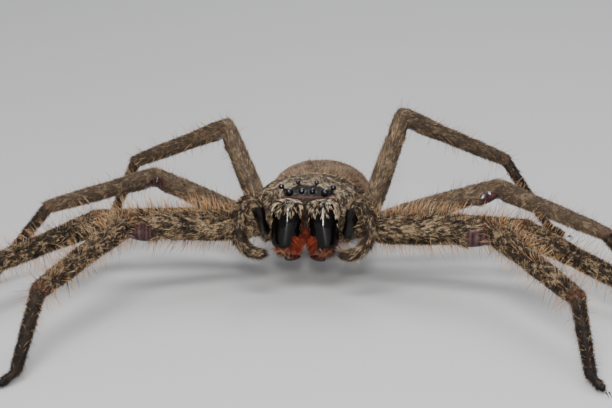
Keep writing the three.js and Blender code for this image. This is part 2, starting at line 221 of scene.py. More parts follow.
def drop_to(sign, degrees, start, length, height):
    return heading(sign, degrees, math.degrees(math.asin((height - start.z) / length)))


def leg_joints(side, number):
    """Coxa, trochanter, knee, patella end, shin end, ankle and tip of one leg, before the shift."""
    sign, size, pose = SIDES[side], LEGS[number - 1], POSE[side][number - 1]
    inner = body_point(sign * size["inner"][0], *size["inner"][1:])
    root = body_point(sign * size["root"][0], *size["root"][1:])
    knee = root + heading(sign, *pose["femur"]) * size["femur"]
    shank = heading(sign, *pose["tibia"])
    patella = knee + shank * size["patella"]
    shin = patella + shank * size["tibia"]
    ankle = shin + drop_to(sign, pose["metatarsus"], shin, size["metatarsus"], ANKLE_HEIGHT) * size["metatarsus"]
    tip = ankle + drop_to(sign, pose["tarsus"], ankle, size["tarsus"], TIP_HEIGHT) * size["tarsus"]
    return [inner, root, knee, patella, shin, ankle, tip]


def limb_lines():
    """Every limb stretch as start, end, the two radii, kind, leg number and side."""
    rows = []
    for side, sign in SIDES.items():
        for number in range(1, 5):
            femur, tibia, metatarsus = LEGS[number - 1]["radii"]
            joints = leg_joints(side, number)
            radii = (
                (COXA_RADIUS, COXA_RADIUS), (femur * 0.9, femur * 0.9), (tibia * 1.25, tibia * 1.15),
                (tibia * 1.06, tibia * 0.9), (metatarsus, metatarsus * 0.84), (TARSUS_RADIUS, TARSUS_RADIUS),
            )
            for k, kind in enumerate((COXA, FEMUR, PATELLA, TIBIA, METATARSUS, TARSUS)):
                rows.append((joints[k], joints[k + 1], *radii[k], kind, number, sign))
        line = [body_point(sign * x, y, z) for x, y, z in PALP_LINE]
        for start, end in zip(line, line[1:]):
            rows.append((start, end, PALP_RADIUS, PALP_RADIUS, PALP, 0, sign))
    return rows


def survey(points):
    """For frame points: kind of surface, leg number, side, share along the limb and lie of the hair."""
    bare = points / MM - np.array(SHIFT)
    body = to_body(points)
    count = len(points)
    best = np.full(count, 1e9)
    kind = np.zeros(count, int)
    number = np.zeros(count, int)
    side = np.where(body[:, 0] >= 0, 1, -1)
    share = np.zeros(count)
    lie = np.zeros((count, 3))
    for start, end, first, last, limb_kind, leg, sign in limb_lines():
        a, along = np.array(start), np.array(end - start)
        t = np.clip((bare - a) @ along / (along @ along), 0, 1)
        distance = np.linalg.norm(bare - a - t[:, None] * along, axis=1) / (first + (last - first) * t)
        nearer = distance < best
        best[nearer] = distance[nearer]
        kind[nearer], number[nearer], side[nearer] = limb_kind, leg, sign
        share[nearer] = t[nearer]
        lie[nearer] = along / np.linalg.norm(along)
    for middle, radii, body_kind in (
        (CARAPACE_MIDDLE, CARAPACE_RADII, CARAPACE), (ABDOMEN_MIDDLE, ABDOMEN_RADII, ABDOMEN),
        ((0, 0.5, -2.4), (2.6, 4.6, 1.3), UNDERSIDE), ((0, -5.2, -3.4), (2.6, 1.3, 1.2), UNDERSIDE),
    ):
        distance = np.linalg.norm((body - middle) / radii, axis=1)
        nearer = distance < best
        best[nearer] = distance[nearer]
        kind[nearer], number[nearer] = body_kind, 0
        share[nearer] = 0.5
        if body_kind == CARAPACE:
            flow = body - np.array((0, 3.0, 3.0))
        else:
            flow = np.tile(np.array((0.0, 1.0, -0.1)), (count, 1))
        flow /= np.maximum(np.linalg.norm(flow, axis=1, keepdims=True), 1e-6)
        lie[nearer] = flow[nearer]
    return dict(kind=kind, number=number, side=side, share=share, lie=lie, body=body)


def eye_depth(eye):
    """How far behind the face an eye's middle lies."""
    return REAR_EYE_DEPTH if eye.startswith("rear") else FRONT_EYE_DEPTH


def on_face(body, kind):
    """The front of the carapace, round the eyes and over the jaws."""
    return (kind == CARAPACE) & (body[:, 1] < FACE_Y + FACE_SKIN)


def brow_rim(body, kind):
    """The bald edge of the carapace over the jaws."""
    edge = np.abs(body[:, 2] - brow_height(body[:, 0])) < RIM_HALF_HEIGHT
    return on_face(body, kind) & edge & (np.abs(body[:, 0]) < RIM_REACH)


def bare_spots(points, normals, seen):
    """How bare and glossy the skin is, from 0 to 1: brow rim, eye rims, palp faces and soft knees."""
    body, kind = seen["body"], seen["kind"]
    spots = brow_rim(body, kind).astype(float) * 0.3
    for eye, (x, z, radius) in EYES.items():
        shade = 0.9 if eye.startswith("rear") else 0.6
        for sign in (1, -1):
            centre = np.array((sign * x, FACE_Y + eye_depth(eye), z))
            spots[np.linalg.norm(body - centre, axis=1) < radius + 0.1] = shade
    oval = ((np.abs(body[:, 0]) - PALP_OVAL_MIDDLE[0]) / PALP_OVAL_RADII[0]) ** 2
    oval += ((body[:, 2] - PALP_OVAL_MIDDLE[1]) / PALP_OVAL_RADII[1]) ** 2
    spots[(kind == PALP) & (oval < 1) & (body[:, 1] > PALP_OVAL_FRONT) & (normals[:, 1] < 0.35)] = 1
    for centre, radii, axes in knee_membranes():
        local = (points / MM - np.array(SHIFT) - np.array(centre)) @ np.array(axes).T
        spots[np.linalg.norm(local / np.array(radii), axis=1) < 1.0] = 1
    return spots


def eye_band(body, kind):
    """The black patch of short hair round the four front eyes."""
    across = np.clip(np.abs(body[:, 0]) / BAND_HALF_WIDTH, 0, 1)
    high = np.abs(body[:, 2] - BAND_MIDDLE) < BAND_HALF_HEIGHT * np.sqrt(1 - across ** 4)
    return on_face(body, kind) & high


def brow_height(x):
    """Height of the carapace's front edge over the jaws, an arch that drops to the sides."""
    return BROW_HEIGHT - BROW_DROP * x ** 2


def knee_membranes():
    """Soft bulges in the inner bend of each knee: centre, three radii and the axes they lie on."""
    found = []
    for side in SIDES:
        for number in range(1, 5):
            joints = leg_joints(side, number)
            femur = (joints[2] - joints[1]).normalized()
            shank = (joints[3] - joints[2]).normalized()
            bend = (shank - femur).normalized()
            radius = LEGS[number - 1]["radii"][0]
            low = Vector((0, 0, -1))
            centre = joints[2] - femur * radius * 0.85 + bend * radius * 0.5 + low * radius * 0.26
            across = femur.cross(bend).normalized()
            axes = (tuple(femur), tuple(bend), tuple(across))
            found.append((tuple(centre), (radius * 1.3, radius * 0.7, radius * 0.68), axes))
    return found


# Mesh helpers

def deselect():
    bpy.ops.object.select_all(action="DESELECT")
    bpy.context.view_layer.objects.active = None


def node_copy(node, name):
    """A welded copy of a CAD node, at the origin."""
    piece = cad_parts[node].copy()
    piece.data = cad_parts[node].data.copy()
    piece.name = name
    piece.parent = None
    piece.matrix_world = Matrix.Identity(4)
    for key in [k for k in piece.keys() if k.startswith("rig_")]:
        del piece[key]
    bpy.context.scene.collection.objects.link(piece)
    piece.hide_render = False
    piece.hide_viewport = False
    piece.data.materials.clear()
    weld(piece)
    return piece


def weld(piece):
    deselect()
    piece.select_set(True)
    bpy.context.view_layer.objects.active = piece
    bpy.ops.object.mode_set(mode="EDIT")
    bpy.ops.mesh.select_all(action="SELECT")
    bpy.ops.mesh.remove_doubles(threshold=1e-6)
    bpy.ops.object.mode_set(mode="OBJECT")


def add_ball(centre, radii, name, turn=None):
    """A ball or ellipsoid at a frame place, radii in metres."""
    deselect()
    bpy.ops.mesh.primitive_uv_sphere_add(segments=20, ring_count=12, radius=1, location=(0, 0, 0))
    piece = bpy.context.object
    piece.name = name
    shape = Matrix.Diagonal((*radii, 1))
    if turn is not None:
        shape = turn.to_4x4() @ shape
    piece.data.transform(Matrix.Translation(centre) @ shape)
    return piece


def join(pieces, name):
    deselect()
    for piece in pieces:
        piece.select_set(True)
    bpy.context.view_layer.objects.active = pieces[0]
    bpy.ops.object.join()
    pieces[0].name = name
    return pieces[0]


def apply_modifier(piece, kind, **settings):
    deselect()
    piece.select_set(True)
    bpy.context.view_layer.objects.active = piece
    modifier = piece.modifiers.new(kind.title(), kind)
    for key, value in settings.items():
        setattr(modifier, key, value)
    bpy.ops.object.modifier_apply(modifier=modifier.name)


def fuse(piece, voxel, smoothing, inset):
    """Fuses overlapping bodies into one smooth surface, drawn in by the coat's depth."""
    apply_modifier(piece, "REMESH", mode="VOXEL", voxel_size=voxel)
    apply_modifier(piece, "SMOOTH", factor=0.5, iterations=smoothing)
    if inset:
        apply_modifier(piece, "DISPLACE", strength=-inset, mid_level=0.0)
    deselect()
    piece.select_set(True)
    bpy.context.view_layer.objects.active = piece
    bpy.ops.object.shade_smooth()


def unwrap(piece, name):
    """An unwrap of the piece's own shape, in a UV map of the given name."""
    deselect()
    piece.select_set(True)
    bpy.context.view_layer.objects.active = piece
    while piece.data.uv_layers:
        piece.data.uv_layers.remove(piece.data.uv_layers[0])
    piece.data.uv_layers.new(name=name)
    bpy.ops.object.mode_set(mode="EDIT")
    bpy.ops.mesh.select_all(action="SELECT")
    bpy.ops.uv.smart_project(angle_limit=math.radians(66), island_margin=0.002)
    bpy.ops.object.mode_set(mode="OBJECT")


def vertex_arrays(piece):
    count = len(piece.data.vertices)
    points = np.empty(count * 3)
    normals = np.empty(count * 3)
    piece.data.vertices.foreach_get("co", points)
    piece.data.vertices.foreach_get("normal", normals)
    return points.reshape(-1, 3), normals.reshape(-1, 3)


def paint(piece, name, values):
    """Stores one value or colour per vertex as an attribute."""
    if values.ndim == 2:
        layer = piece.data.attributes.new(name, "FLOAT_COLOR", "POINT")
        rgba = np.ones((len(values), 4), np.float32)
        rgba[:, :3] = values
        layer.data.foreach_set("color", rgba.ravel())
    else:
        layer = piece.data.attributes.new(name, "FLOAT", "POINT")
        layer.data.foreach_set("value", values.astype(np.float32))


# Markings shared by the skin and the coat

def clump(points, size, seed):
    """Smooth noise from -1 to 1 at each point, with patches of about the given size in millimetres."""
    scale = 1 / (size * MM)
    offset = Vector((seed * 7.3, seed * 3.1, seed * 5.7))
    return np.array([noise.noise(Vector(p) * scale + offset) for p in points])


def markings(points, seen, rng):
    """Colour of each tuft from its kind, its place and patches of lighter and darker hair, with painted shade
    under the brow edge.
    """
    kind = seen["kind"]
    tone = np.zeros((len(points), 3))
    body = seen["body"]
    near_eyes = (kind == CARAPACE) & (body[:, 1] < FACE_Y + 2.0) & (body[:, 2] > 1.3)
    lie = seen["lie"] * (kind > COXA)[:, None]
    streaked = points - lie * np.sum(points * lie, axis=1, keepdims=True) * STREAK
    patches = clump(points, 1.3, 1) * 0.5 + clump(streaked, 0.2, 2) * 0.75
    patches += np.select([near_eyes, kind == CARAPACE], [0.22, -0.06], 0.0)
    draw = rng.random(len(points))
    for each, (_, _, _, _, main, light, dark, light_share, dark_share) in COATS.items():
        here = kind == each
        if not here.any():
            continue
        lift = np.clip(patches[here], -0.5, 0.5)
        picked = np.tile(np.array(main), (here.sum(), 1))
        picked[draw[here] < light_share + lift] = light
        picked[draw[here] > 1 - dark_share + lift] = dark
        tone[here] = picked
    share, number = seen["share"], seen["number"]

    def blend(here, colour, weight):
        tone[here] = tone[here] * (1 - weight[:, None]) + np.array(colour) * weight[:, None]

    toes = kind == METATARSUS
    blend(toes, DARK, np.clip(share[toes] * 1.1, 0, 0.8))
    knee_end = (kind == FEMUR) & (share > 0.88)
    blend(knee_end, RUSSET, (share[knee_end] - 0.88) * 5)
    shin_end = (kind == TIBIA) & (share > 0.9)
    blend(shin_end, RUSSET, (share[shin_end] - 0.9) * 7)
    mouth = (kind == UNDERSIDE) & (body[:, 1] < MOUTH_Y)
    blend(mouth, RED, np.full(mouth.sum(), 0.9))
    hind = (number >= 3) & np.isin(kind, (FEMUR, PATELLA, TIBIA))
    blend(hind, GREY_BROWN, np.full(hind.sum(), 0.5))
    band = eye_band(body, kind)
    blend(band, BLACK, np.full(band.sum(), 0.97))
    # Painted shade: the face under the brow edge, beside and over the jaws, is darkened.
    notch = on_face(body, kind) & (body[:, 2] < brow_height(body[:, 0]) + 0.1)
    blend(notch, DARK, np.full(notch.sum(), 0.85))
    return tone * rng.uniform(0.75, 1.2, (len(points), 1))


# Hair

def sample_roots(piece, density, rng, unwrap_name):
    """Random roots over a piece: points, normals and unwrap places, with a density per face."""
    mesh = piece.data
    mesh.calc_loop_triangles()
    count = len(mesh.loop_triangles)
    corners = np.empty(count * 3, int)
    loops = np.empty(count * 3, int)
    mesh.loop_triangles.foreach_get("vertices", corners)
    mesh.loop_triangles.foreach_get("loops", loops)
    corners, loops = corners.reshape(-1, 3), loops.reshape(-1, 3)
    points, normals = vertex_arrays(piece)
    flat = np.empty(len(mesh.loops) * 2)
    mesh.uv_layers[unwrap_name].data.foreach_get("uv", flat)
    flat = flat.reshape(-1, 2)
    a, b, c = (points[corners[:, k]] for k in range(3))
    area = np.linalg.norm(np.cross(b - a, c - a), axis=1) / 2 / MM ** 2
    expected = area * density((a + b + c) / 3, normals[corners].mean(axis=1))
    picks = np.repeat(np.arange(count), rng.poisson(expected))
    u, v = rng.random(len(picks)), rng.random(len(picks))
    folded = u + v > 1
    u[folded], v[folded] = 1 - u[folded], 1 - v[folded]
    weights = np.stack((1 - u - v, u, v), axis=1)
    root = np.einsum("nk,nkd->nd", weights, points[corners[picks]])
    normal = np.einsum("nk,nkd->nd", weights, normals[corners[picks]])
    normal /= np.maximum(np.linalg.norm(normal, axis=1, keepdims=True), 1e-9)
    uv = np.einsum("nk,nkd->nd", weights, flat[loops[picks]])
    return root, normal, uv


def unit(vectors):
    return vectors / np.maximum(np.linalg.norm(vectors, axis=1, keepdims=True), 1e-9)


def grow(name, roots, normals, lies, lifts, lengths, widths, tones, uvs, bends=None, root_shade=0.55):
    """One mesh of thin three-sided spikes. Lengths and widths are in millimetres, lifts in radians.
    With bends each spike has a middle ring and curves by that share of its length."""
    count = len(roots)
    lies = unit(lies - normals * np.sum(lies * normals, axis=1, keepdims=True))
    axis = unit(lies * np.cos(lifts)[:, None] + normals * np.sin(lifts)[:, None])
    side = unit(np.cross(axis, normals + 1e-4))
    up = np.cross(axis, side)
    length = (lengths * MM)[:, None]
    width = (widths * MM)[:, None]
    rings = []
    base = roots - axis * (0.12 * MM)
    tip = roots + axis * length
    stations = [(base, width)]
    if bends is not None:
        bow = unit(bends)
        stations.append((roots + axis * length * 0.55, width * 0.8))
        tip = tip + bow * length * np.linalg.norm(bends, axis=1, keepdims=True)
    for centre, radius in stations:
        for k in range(3):
            angle = 2 * math.pi * k / 3
            rings.append(centre + radius * (side * math.cos(angle) + up * math.sin(angle)))
    rings.append(tip)
    per = len(rings)
    points = np.stack(rings, axis=1)
    points[:, :, 2] = np.maximum(points[:, :, 2], 0.03 * MM)
    pattern = [(0, 2, 1)]
    for level in range(len(stations) - 1):
        for k in range(3):
            low, high = 3 * level + k, 3 * level + (k + 1) % 3
            pattern += [(low, high, high + 3), (low, high + 3, low + 3)]
    last = 3 * (len(stations) - 1)
    pattern += [(last + k, last + (k + 1) % 3, per - 1) for k in range(3)]
    faces = (np.arange(count)[:, None, None] * per + np.array(pattern)[None]).reshape(-1)
    mesh = bpy.data.meshes.new(name)
    mesh.vertices.add(count * per)
    mesh.vertices.foreach_set("co", points.reshape(-1).astype(np.float32))
    mesh.loops.add(len(faces))
    mesh.loops.foreach_set("vertex_index", faces.astype(np.int32))
    mesh.polygons.add(len(faces) // 3)
    mesh.polygons.foreach_set("loop_start", np.arange(0, len(faces), 3, dtype=np.int32))
    mesh.polygons.foreach_set("loop_total", np.full(len(faces) // 3, 3, dtype=np.int32))
    mesh.update(calc_edges=True)
    piece = bpy.data.objects.new(name, mesh)
    bpy.context.scene.collection.objects.link(piece)
    shade = np.ones(per)
    shade[:3] = root_shade
    paint(piece, "tone", (tones[:, None, :] * shade[None, :, None]).reshape(-1, 3))
    angles = np.arange(per) * 2.4
    patch = 0.0015 * np.stack((np.cos(angles), np.sin(angles)), axis=1)
    spread = (uvs[:, None, :] + patch[None]).reshape(-1, 2)
    layer = mesh.uv_layers.new(name="OFBake")
    layer.data.foreach_set("uv", spread[faces].reshape(-1).astype(np.float32))
    piece.data.materials.append(bpy.data.materials["spider coat"])
    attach(piece, "root")
    return piece


# Materials

def new_material(name):
    material = bpy.data.materials.new(name)
    material.use_nodes = True
    nodes = material.node_tree.nodes
    return material, nodes, material.node_tree.links, nodes["Principled BSDF"]


def mottle_group():
    """Fine variation that every surface of the spider shares: a factor about one, and a height."""
    group = bpy.data.node_groups.new("fine mottle", "ShaderNodeTree")
    for name, default in (("Scale", 900.0), ("Strength", 0.3)):
        socket = group.interface.new_socket(name, in_out="INPUT", socket_type="NodeSocketFloat")
        socket.default_value = default
    group.interface.new_socket("Factor", in_out="OUTPUT", socket_type="NodeSocketFloat")
    group.interface.new_socket("Height", in_out="OUTPUT", socket_type="NodeSocketFloat")
    nodes, links = group.nodes, group.links
    given = nodes.new("NodeGroupInput")
    put = nodes.new("NodeGroupOutput")
    where = nodes.new("ShaderNodeTexCoord")
    grain = nodes.new("ShaderNodeTexNoise")
    grain.inputs["Detail"].default_value = 3.0
    spread = nodes.new("ShaderNodeMath")
    spread.operation = "MULTIPLY_ADD"
    centre = nodes.new("ShaderNodeMath")
    centre.operation = "SUBTRACT"
    centre.inputs[1].default_value = 0.5
    links.new(where.outputs["Object"], grain.inputs["Vector"])
    links.new(given.outputs["Scale"], grain.inputs["Scale"])
    links.new(grain.outputs["Fac"], centre.inputs[0])
    links.new(centre.outputs[0], spread.inputs[0])
    links.new(given.outputs["Strength"], spread.inputs[1])
    spread.inputs[2].default_value = 1.0
    links.new(spread.outputs[0], put.inputs["Factor"])
    links.new(grain.outputs["Fac"], put.inputs["Height"])
    return group


def add_mottle(nodes, scale, strength):
    node = nodes.new("ShaderNodeGroup")
    node.node_tree = bpy.data.node_groups["fine mottle"]
    node.inputs["Scale"].default_value = scale
    node.inputs["Strength"].default_value = strength
    return node


def tinted(nodes, links, colour_socket, factor_socket):
    mix = nodes.new("ShaderNodeVectorMath")
    mix.operation = "SCALE"
    links.new(colour_socket, mix.inputs[0])
    links.new(factor_socket, mix.inputs["Scale"])
    return mix.outputs[0]


def add_bump(nodes, links, height_socket, shader, strength, distance):
    bump = nodes.new("ShaderNodeBump")
    bump.inputs["Strength"].default_value = strength
    bump.inputs["Distance"].default_value = distance
    links.new(height_socket, bump.inputs["Height"])
    links.new(bump.outputs["Normal"], shader.inputs["Normal"])


def coat_material():
    _, nodes, links, shader = new_material("spider coat")
    tone = nodes.new("ShaderNodeAttribute")
    tone.attribute_name = "tone"
    mottle = add_mottle(nodes, 700.0, 0.5)
    links.new(tinted(nodes, links, tone.outputs["Color"], mottle.outputs["Factor"]), shader.inputs["Base Color"])
    shader.inputs["Roughness"].default_value = 0.55
    shader.inputs["Specular IOR Level"].default_value = 0.14


def skin_material():
    _, nodes, links, shader = new_material("spider skin")
    tone = nodes.new("ShaderNodeAttribute")
    tone.attribute_name = "tone"
    bare = nodes.new("ShaderNodeAttribute")
    bare.attribute_name = "bare"
    mottle = add_mottle(nodes, 1400.0, 0.8)
    links.new(tinted(nodes, links, tone.outputs["Color"], mottle.outputs["Factor"]), shader.inputs["Base Color"])
    gloss = nodes.new("ShaderNodeMapRange")
    gloss.inputs["To Min"].default_value = 0.75
    gloss.inputs["To Max"].default_value = 0.16
    links.new(bare.outputs["Fac"], gloss.inputs["Value"])
    links.new(gloss.outputs["Result"], shader.inputs["Roughness"])
    shader.inputs["Specular IOR Level"].default_value = 0.22
    add_bump(nodes, links, mottle.outputs["Height"], shader, 0.25, 0.00008)


def horn_material(name, colour, roughness, specular, bump):
    _, nodes, links, shader = new_material(name)
    mottle = add_mottle(nodes, 1100.0, 0.5)
    base = nodes.new("ShaderNodeRGB")
    base.outputs[0].default_value = (*colour, 1)
    links.new(tinted(nodes, links, base.outputs[0], mottle.outputs["Factor"]), shader.inputs["Base Color"])
    shader.inputs["Roughness"].default_value = roughness
    shader.inputs["Specular IOR Level"].default_value = specular
    add_bump(nodes, links, mottle.outputs["Height"], shader, bump, 0.00006)


def finish_piece(piece, material, slot_name, *nodes):
    piece.data.materials.clear()
    piece.data.materials.append(bpy.data.materials[material])
    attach(piece, "root")
    if nodes:
        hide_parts(*nodes)


# Sizes and colours that a user would change

class SpiderCoatSettings(bpy.types.PropertyGroup):
    depth: bpy.props.FloatProperty(
        name="Coat depth", description="How far the skin lies inside the solids", default=0.17 * MM,
        min=0, soft_max=0.5 * MM, subtype="DISTANCE", unit="LENGTH", precision=6)
    fineness: bpy.props.FloatProperty(
        name="Skin fineness", description="Size of the cells in which the skin is fused", default=0.26 * MM,
        min=0.15 * MM, subtype="DISTANCE", unit="LENGTH", precision=6)
    density: bpy.props.FloatProperty(
        name="Hair density", description="Share of the full number of tufts", default=1.0, min=0.05, max=1.5,
        subtype="FACTOR")
    bristle: bpy.props.FloatProperty(
        name="Bristle length", description="Length of the erect bristles on the legs", default=1.8 * MM,
        min=0, soft_max=3 * MM, subtype="DISTANCE", unit="LENGTH", precision=6)
    bristle_colour: bpy.props.FloatVectorProperty(
        name="Bristle colour", description="Colour of the erect bristles", default=ORANGE, size=3,
        subtype="COLOR", min=0, max=1)


class SpiderStageSettings(bpy.types.PropertyGroup):
    distance: bpy.props.FloatProperty(
        name="Camera distance", description="From the camera to the face", default=0.23, min=0.05,
        subtype="DISTANCE", unit="LENGTH")
    azimuth: bpy.props.FloatProperty(
        name="Camera azimuth", description="Turn of the camera round the spider", default=math.radians(5),
        subtype="ANGLE", unit="ROTATION")
    elevation: bpy.props.FloatProperty(
        name="Camera elevation", description="Height of the camera above the level", default=math.radians(14.5),
        subtype="ANGLE", unit="ROTATION")
    lens: bpy.props.FloatProperty(
        name="Lens", description="Focal length of the camera", default=124.5, min=10, unit="CAMERA")
    floor_colour: bpy.props.FloatVectorProperty(
        name="Floor colour", description="Colour of the studio floor", default=(0.34, 0.34, 0.345), size=3,
        subtype="COLOR", min=0, max=1)


# Operators, one for each piece or group of like pieces

class SPIDER_OT_materials(bpy.types.Operator):
    """Makes the finishes of the spider"""
    bl_idname = "spider.materials"
    bl_label = "Make finishes"

    def execute(self, context):
        mottle_group()
        coat_material()
        skin_material()
        horn_material("jaw horn", (0.0012, 0.0009, 0.0009), 0.12, 0.2, 0.04)
        horn_material("fang horn", (0.012, 0.004, 0.003), 0.2, 0.3, 0.1)
        horn_material("eye black", (0.002, 0.002, 0.004), 0.08, 0.4, 0.0)
        return {"FINISHED"}


FLESH_STEMS = (
    "leg_", "palp_", "carapace", "sternum", "endite", "labium", "pedicel", "abdomen", "spinnerets",
)
FLESH = [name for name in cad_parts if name.startswith(FLESH_STEMS)]


class SPIDER_OT_skin(bpy.types.Operator):
    """Fuses the soft parts and legs into one skin with soft knees, and marks it like the coat, darker as painted
    shade under the hair
    """
    bl_idname = "spider.skin"
    bl_label = "Make skin"

    def execute(self, context):
        settings = context.scene.spider_coat
        pieces = [node_copy(name, "flesh") for name in FLESH]
        pieces += self.bridges()
        for centre, radii, axes in knee_membranes():
            turn = Matrix(axes).transposed()
            where = (Vector(centre) + SHIFT) * MM
            pieces.append(add_ball(where, [r * 1.06 * MM for r in radii], "membrane", turn))
        skin = join(pieces, "skin")
        fuse(skin, settings.fineness, 3, settings.depth)
        unwrap(skin, "skin_unwrap")
        points, normals = vertex_arrays(skin)
        seen = survey(points)
        spots = bare_spots(points, normals, seen)
        # The skin takes the coat's markings darkened to 0.4, as painted shade under the hair.
        tone = markings(points, seen, np.random.default_rng(SKIN_SEED)) * 0.4
        black_parts = np.isin(seen["kind"], (PALP, CARAPACE))[:, None]
        # Stripes of painted light and shade across the bare knee membranes stand for their ridges.
        painted_ridge_shading = 0.9 + 0.7 * np.sin(points[:, :1] / MM * 2 * math.pi / KNEE_RIDGE_SHADING_SPACING)
        dark_bare = np.where(black_parts, BLACK, np.array(MEMBRANE) * painted_ridge_shading)
        bared = spots[:, None] > 0
        tone = np.where(bared, dark_bare, tone)
        tone[brow_rim(seen["body"], seen["kind"])] = CLYPEUS_RIM
        paint(skin, "tone", tone)
        paint(skin, "bare", spots)
        finish_piece(skin, "spider skin", "hair", *FLESH)
        return {"FINISHED"}

    def bridges(self):
        """Balls that fill the gaps between the solids, so that the fused skin has no seam."""
        made = []
        for side, sign in SIDES.items():
            for number in range(1, 5):
                femur, tibia, metatarsus = LEGS[number - 1]["radii"]
                joints = leg_joints(side, number)
                for joint, radius in ((1, 1.15), (2, femur * 0.84), (4, tibia * 0.88)):
                    made.append(self.ball(joints[joint], radius))
                made.append(self.ball(joints[0], COXA_RADIUS * 0.9))
            line = [body_point(sign * x, y, z) for x, y, z in PALP_LINE]
            made.append(self.ball(line[0], PALP_RADIUS * 0.9))
            made.append(self.ball(line[4], PALP_RADIUS * 0.95))
            made.append(self.ball(body_point(sign * 3.3, -5.6, -2.7), 0.75))
            for kind, (x, z, radius) in EYES.items():
                centre_y = FACE_Y + eye_depth(kind) + radius * 0.2
                made.append(self.ball(body_point(sign * x, centre_y, z), radius * 0.95))
        made.append(add_ball(place(0, 0.5, -1.2), [v * MM for v in (3.2, 5.0, 1.3)], "core"))
        made.append(add_ball(place(0, -4.4, -1.6), [v * MM for v in (3.0, 1.6, 1.6)], "core"))
        made.append(add_ball(place(0, 6.2, -1.6), [v * MM for v in (0.75, 1.9, 0.75)], "core"))
        made.append(add_ball(place(0, 24.3, -1.3), [v * MM for v in (0.7, 0.7, 0.5)], "core"))
        return made

    def ball(self, point, radius):
        return add_ball((point + SHIFT) * MM, [radius * MM] * 3, "bridge")


class SPIDER_OT_jaws(bpy.types.Operator):
    """Smooths the jaws and fangs into glossy horn"""
    bl_idname = "spider.jaws"
    bl_label = "Make jaws and fangs"

    def execute(self, context):
        for side in SIDES:
            jaw = node_copy("chelicera_" + side, "jaw_" + side)
            fuse(jaw, 0.15 * MM, 8, 0.0)
            unwrap(jaw, "jaw_unwrap")
            finish_piece(jaw, "jaw horn", "horn", "chelicera_" + side)
            fang = node_copy("fang_" + side, "fang_horn_" + side)
            fuse(fang, 0.08 * MM, 3, 0.0)
            finish_piece(fang, "fang horn", "horn", "fang_" + side)
        return {"FINISHED"}


class SPIDER_OT_eyes(bpy.types.Operator):
    """Sets eight polished eyes in two rows"""
    bl_idname = "spider.eyes"
    bl_label = "Make eyes"

    def execute(self, context):
        for kind, (x, z, radius) in EYES.items():
            for side, sign in SIDES.items():
                deselect()
                bpy.ops.mesh.primitive_uv_sphere_add(segments=32, ring_count=16, radius=radius * MM)
                eye = context.object
                eye.name = "lens_" + kind + "_" + side
                eye.data.transform(Matrix.Translation(place(sign * x, FACE_Y + eye_depth(kind), z)))
                eye.location = (0, 0, 0)
                bpy.ops.object.shade_smooth()
                finish_piece(eye, "eye black", "eye", "eye_" + kind + "_" + side)
        return {"FINISHED"}


class SPIDER_OT_claws(bpy.types.Operator):
    """Puts two small hooked claws at the end of each foot"""
    bl_idname = "spider.claws"
    bl_label = "Make claws"

    def execute(self, context):
        for side in SIDES:
            for number in range(1, 5):
                *_, ankle, tip = leg_joints(side, number)
                toe = (tip - ankle)
                toe.z = 0
                toe.normalize()
                across = Vector((-toe.y, toe.x, 0))
                claws = [self.claw(tip, toe, across * hand * 0.16) for hand in (1, -1)]
                foot = join(claws, "claws_%s_%d" % (side, number))
                finish_piece(foot, "fang horn", "horn")
        return {"FINISHED"}

    def claw(self, tip, toe, aside):
        """A tapering hook bent down to the floor."""
        deselect()
        bpy.ops.mesh.primitive_cone_add(vertices=8, radius1=0.09 * MM, radius2=0.015 * MM, depth=0.6 * MM)
        hook = bpy.context.object
        bpy.ops.object.mode_set(mode="EDIT")
        bpy.ops.mesh.select_all(action="SELECT")
        bpy.ops.mesh.subdivide(number_cuts=3)
        bpy.ops.object.mode_set(mode="OBJECT")
        turn = Vector((0, 0, 1)).rotation_difference(toe).to_matrix().to_4x4()
        start = (tip + aside + SHIFT) * MM
        start.z = 0.42 * MM
        for vertex in hook.data.vertices:
            along = vertex.co.z + 0.3 * MM
            vertex.co.z = along
            vertex.co = turn @ vertex.co + start
            vertex.co.z -= 0.9 * along ** 2 / MM
        hook.location = (0, 0, 0)
        bpy.ops.object.shade_smooth()
        return hook


class SPIDER_OT_coat(bpy.types.Operator):
    """Grows the short flat coat over the skin"""
    bl_idname = "spider.coat"
    bl_label = "Grow coat"

    def execute(self, context):
        skin = bpy.data.objects["skin"]
        rng = np.random.default_rng(COAT_SEED)
        share = context.scene.spider_coat.density * 1.0

        def density(points, normals):
            seen = survey(points)
            amount = np.array([COATS[kind][0] for kind in range(len(COATS))])[seen["kind"]]
            amount[(seen["kind"] == UNDERSIDE) & (seen["body"][:, 1] < MOUTH_Y)] *= 2
            return amount * share * (bare_spots(points, normals, seen) == 0)

        roots, normals, uvs = sample_roots(skin, density, rng, "skin_unwrap")
        seen = survey(roots)
        tones = markings(roots, seen, rng)
        table = np.array([COATS[kind][1:4] for kind in range(len(COATS))])[seen["kind"]]
        lengths = table[:, 0] * rng.uniform(0.65, 1.3, len(roots))
        widths = table[:, 1] * rng.uniform(0.75, 1.25, len(roots))
        lifts = np.radians(table[:, 2] * rng.uniform(0.45, 1.6, len(roots)))
        lies = seen["lie"] + rng.normal(0, 0.25, roots.shape)
        mouth = (seen["kind"] == UNDERSIDE) & (seen["body"][:, 1] < MOUTH_Y)
        lengths[mouth] *= 2.8
        lengths[eye_band(seen["body"], seen["kind"])] *= 0.5
        lies[mouth] = np.array((0, -0.8, -0.6)) + rng.normal(0, 0.25, (mouth.sum(), 3))
        groups = {
            "coat_carapace": np.isin(seen["kind"], (CARAPACE, UNDERSIDE)),
            "coat_abdomen": seen["kind"] == ABDOMEN,
            "coat_palps": seen["kind"] == PALP,
        }
        for side, sign in SIDES.items():
            for number in range(1, 5):
                groups["coat_leg_%s_%d" % (side, number)] = (seen["number"] == number) & (seen["side"] == sign)
        for name, here in groups.items():
            grow(name, roots[here], normals[here], lies[here], lifts[here], lengths[here], widths[here],
                 tones[here], uvs[here])
        return {"FINISHED"}


